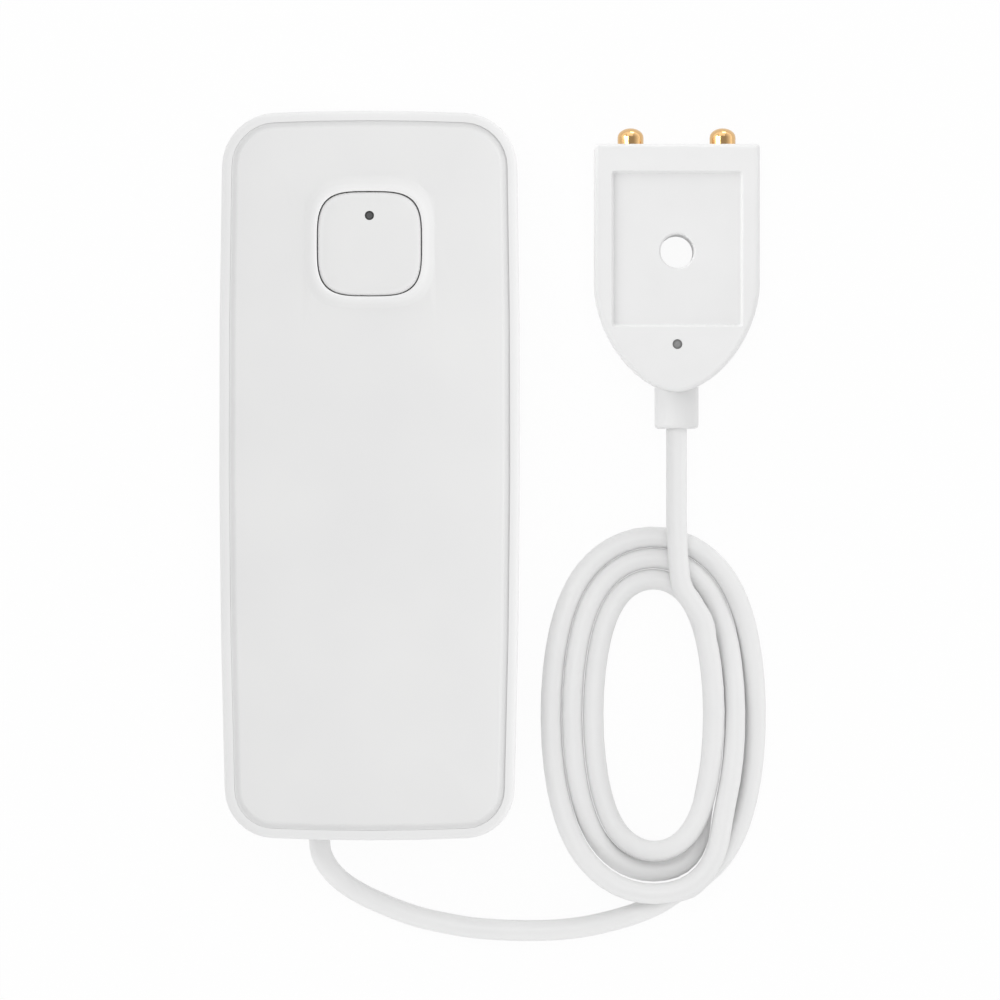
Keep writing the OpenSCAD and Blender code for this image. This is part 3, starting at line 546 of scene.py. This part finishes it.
def addPad(bm, x, y, w, l, z, lift):
    rings = []
    for inset, height in ((0, 0), (0, 0.4 * lift), (0.28, lift)):
        a, b = w / 2 * (1 - inset), l / 2 * (1 - inset)
        c = 0.35 * min(a, b)
        outline = [(a, b - c), (a - c, b), (c - a, b), (-a, b - c),
                   (-a, c - b), (c - a, -b), (a - c, -b), (a, c - b)]
        rings.append([bm.verts.new(Vector((x + px, y + py, z + height)) * mm) for px, py in outline])
    for low, high in zip(rings, rings[1:]):
        for i in range(8):
            j = (i + 1) % 8
            bm.faces.new((low[i], low[j], high[j], high[i]))
    bm.faces.new(rings[0][::-1])
    bm.faces.new(rings[-1])


bm = bmesh.new()
for x, y, stepX, stepY, count, w, l in padSet["rows"]:
    for i in range(count):
        addPad(bm, x + i * stepX, y + i * stepY, w, l, boardSet["top"] + padSet["clear"], padSet["lift"])
addPiece("solderPads", bm, [nickelPlate], "base")
print("board pads laid")

# the cord's route, as in the part: out of the unit, round the coil and up to the probe's collar
cordSet = {"diameter": 2.58, "length": 0.41, "exit": (-6.4, -44.0, 5.6), "rest": 1.3, "step": 0.7,
           "blend": 2.5}
leadPoints = [
    (-6.4, -40.2, 5.6), (-6.4, -42.4, 5.6), (-6.4, -44.6, 5.6), (-6.2, -46.2, 5.4), (-5.5, -47.7, 5.0),
    (-4.4, -49.1, 4.3), (-3.0, -50.3, 3.5), (-1.3, -51.4, 2.7), (0.7, -52.4, 2.0), (3.0, -53.4, 1.5),
    (5.6, -54.3, 1.3), (8.6, -55.0, 1.3), (12.0, -55.6, 1.3), (15.6, -55.9, 1.3), (19.2, -56.0, 1.3),
    (22.8, -55.9, 1.3), (26.2, -55.5, 1.3), (29.4, -54.8, 1.3), (32.4, -53.9, 1.3), (35.2, -52.7, 1.3),
    (37.6, -51.2, 1.3)]
tailPoints = [
    (38.2, -13.8, 4.25), (37.7, -11.2, 4.25), (37.5, -8.4, 4.2), (37.4, -5.4, 4.1), (37.4, -2.4, 4.0),
    (37.4, 0.8, 4.0), (37.4, 4.0, 4.0), (37.4, 9.2, 4.0), (37.4, 12.8, 4.0)]
# ramps of the coil are (first angle, angle that the change takes)
coilSet = {"x": 34.6, "y": -29.4, "a": 3.3, "b": 12.6, "out": 4.1, "lift": 3.0, "even": 2.2,
           "step": 2.5 * math.cos(math.radians(30)) + 0.435, "start": -66.0, "stop": 1102.0,
           "turnPoints": 64, "inward": ((280, 60), (640, 60)), "humpUp": (190, 70),
           "humpDown": (340, 60), "climb": (930, 85)}


def smoothStep(x):
    c = min(max(x, 0.0), 1.0)
    return c * c * (3 - 2 * c)


def rampAt(u, ramp):
    return smoothStep((u - ramp[0]) / ramp[1])


def coilPoint(u):
    c = coilSet
    turn = math.radians(u)
    f = math.atan2(c["even"] * math.sin(turn), math.cos(turn))
    n = Vector((c["b"] * math.cos(f), c["a"] * math.sin(f))).normalized()
    inward = sum(rampAt(u, ramp) for ramp in c["inward"])
    hump = rampAt(u, c["humpUp"]) * (1 - rampAt(u, c["humpDown"]))
    climb = rampAt(u, c["climb"])
    out = c["out"] + c["step"] * (2 - inward)
    return Vector((c["x"] + c["a"] * math.cos(f) + out * n[0], c["y"] + c["b"] * math.sin(f) + out * n[1],
                   cordSet["rest"] + c["lift"] * (hump + climb)))


def smoothRoute(points, step):
    route = []
    for i in range(len(points) - 1):
        p0, p1, p2, p3 = (points[min(max(k, 0), len(points) - 1)] for k in (i - 1, i, i + 1, i + 2))
        count = max(2, round((p2 - p1).length / step))
        for k in range(count):
            t = k / count
            route.append(0.5 * (2 * p1 + (p2 - p0) * t + (2 * p0 - 5 * p1 + 4 * p2 - p3) * t * t
                                + (3 * p1 - p0 - 3 * p2 + p3) * t ** 3))
    return route + [points[-1]]


def cordRoute():
    c = coilSet
    count = round((c["stop"] - c["start"]) * c["turnPoints"] / 360)
    coil = [coilPoint(c["start"] + (c["stop"] - c["start"]) * i / count) for i in range(count + 1)]
    into = coil[0] - cordSet["blend"] * (coil[1] - coil[0]).normalized()
    away = coil[-1] + cordSet["blend"] * (coil[-1] - coil[-2]).normalized()
    lead = smoothRoute([Vector(p) for p in leadPoints] + [into, coil[0]], cordSet["step"])
    tail = smoothRoute([coil[-1], away] + [Vector(p) for p in tailPoints], cordSet["step"])
    return lead[:-1] + coil + tail[1:]


def makeCord():
    route = cordRoute()
    curve = bpy.data.curves.new("sensorCord", "CURVE")
    curve.dimensions = "3D"
    curve.bevel_depth = cordSet["diameter"] / 2 * mm
    curve.bevel_resolution = 5
    curve.use_fill_caps = True
    spline = curve.splines.new("POLY")
    spline.points.add(len(route) - 1)
    for point, place in zip(spline.points, route):
        point.co = (*(place * mm), 1.0)
    spline.use_smooth = True
    curve.materials.append(cordJacket)
    cord = bpy.data.objects.new("sensorCord", curve)
    bpy.context.scene.collection.objects.link(cord)
    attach(cord, "base")
    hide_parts("cord_lead", "cord_coil", "cord_tail")
    length = sum((b - a).length for a, b in zip(route, route[1:])) * mm
    print("cord length", round(length, 4))
    return cord


sensorCord = makeCord()
print("cord laid")

# floor, lamps and sky
floorSet = {"size": 4.0, "drop": 0.05, "tone": 0.90, "white": 0.94}
lampSet = {
    "unitLamp": {"at": (0.28, 0.13, 0.60), "aim": (0.0, 0.0, 0.02), "size": 0.5, "power": 1.36},
    "probeLamp": {"at": (-0.44, 0.06, 0.44), "aim": (0.037, 0.024, 0.0), "size": 0.5, "power": 1.45,
                  "alone": True},
    "topLamp": {"at": (-0.02, 0.46, 0.42), "aim": (0.037, 0.024, 0.0), "size": 0.5, "power": 0.55,
                "alone": True},
    "pinLamp": {"at": (-0.38, 0.08, 0.46), "aim": (0.037, 0.042, 0.004), "size": 0.42, "power": 2.6,
                "alone": True},
    "pinCard": {"at": (0.12, 0.56, 0.07), "aim": (0.037, 0.042, 0.004), "size": 0.2, "power": 0.5,
                "alone": True},
    "cordLamp": {"at": (-0.01, 0.10, 0.68), "aim": (0.035, -0.03, 0.0), "size": 0.5, "power": 1.45},
}
skySet = {"horizon": 1.55, "zenith": 0.45}


def makeFloor(f):
    bpy.ops.mesh.primitive_plane_add(size=f["size"], location=(0, 0, -f["drop"] * mm))
    floor = bpy.context.object
    floor.name = "paleFloor"
    mat = bpy.data.materials.new("paleFloor")
    mat.use_nodes = True
    tree = mat.node_tree
    tree.nodes.clear()
    matt = addNode(tree, "ShaderNodeBsdfDiffuse", {"Color": (f["tone"],) * 3 + (1.0,)})
    glow = addNode(tree, "ShaderNodeEmission", {"Color": (1.0, 1.0, 1.0, 1.0), "Strength": 1.0})
    rays = addNode(tree, "ShaderNodeLightPath")
    through = mathNode(tree, "MAXIMUM", rays.outputs["Is Glossy Ray"], rays.outputs["Is Transmission Ray"])
    seen = mathNode(tree, "MAXIMUM", rays.outputs["Is Camera Ray"], through)
    mix = addNode(tree, "ShaderNodeMixShader", {0: mathNode(tree, "MULTIPLY", seen, f["white"]),
                                                1: matt.outputs[0], 2: glow.outputs[0]})
    addNode(tree, "ShaderNodeOutputMaterial", {"Surface": mix.outputs[0]})
    floor.data.materials.append(mat)
    return floor


def makeLamp(name, lamp, lit):
    data = bpy.data.lights.new(name, "AREA")
    data.shape = "SQUARE"
    data.size = lamp["size"]
    data.energy = lamp["power"]
    obj = bpy.data.objects.new(name, data)
    obj.location = lamp["at"]
    obj.rotation_euler = (Vector(lamp["aim"]) - obj.location).to_track_quat("-Z", "Y").to_euler()
    bpy.context.scene.collection.objects.link(obj)
    receivers = bpy.data.collections.new(name + "Lit")
    for piece in lit:
        receivers.objects.link(piece)
    obj.light_linking.receiver_collection = receivers
    if lamp.get("alone"):
        obj.light_linking.blocker_collection = receivers


def makeSky(s):
    world = bpy.data.worlds.new("softSky")
    bpy.context.scene.world = world
    world.use_nodes = True
    tree = world.node_tree
    tree.nodes.clear()
    place = addNode(tree, "ShaderNodeTexCoord")
    parts = addNode(tree, "ShaderNodeSeparateXYZ", {0: place.outputs["Generated"]})
    tone = spread(tree, parts.outputs["Z"], s["horizon"], s["zenith"], 0.0, 0.9)
    glow = addNode(tree, "ShaderNodeBackground", {"Color": tone, "Strength": 1.0})
    addNode(tree, "ShaderNodeOutputWorld", {"Surface": glow.outputs[0]})


cordParts = [sensorCord, nodes["cable_grommet"], makeFloor(floorSet)]
solids = [obj for obj in bpy.context.scene.objects if obj.type in ("MESH", "CURVE")]
probeParts = [obj for name, obj in nodes.items() if name.startswith("probe_") and "plug" not in name
              and "header" not in name]
pins = [nodes["probe_pin_left"], nodes["probe_pin_right"]]
unitParts = [obj for obj in solids if obj not in probeParts + cordParts]
lampTargets = {"unitLamp": unitParts, "probeLamp": probeParts, "topLamp": probeParts, "pinLamp": pins,
               "pinCard": pins, "cordLamp": cordParts}
for name, lit in lampTargets.items():
    makeLamp(name, lampSet[name], lit)
makeSky(skySet)
print("studio ready")
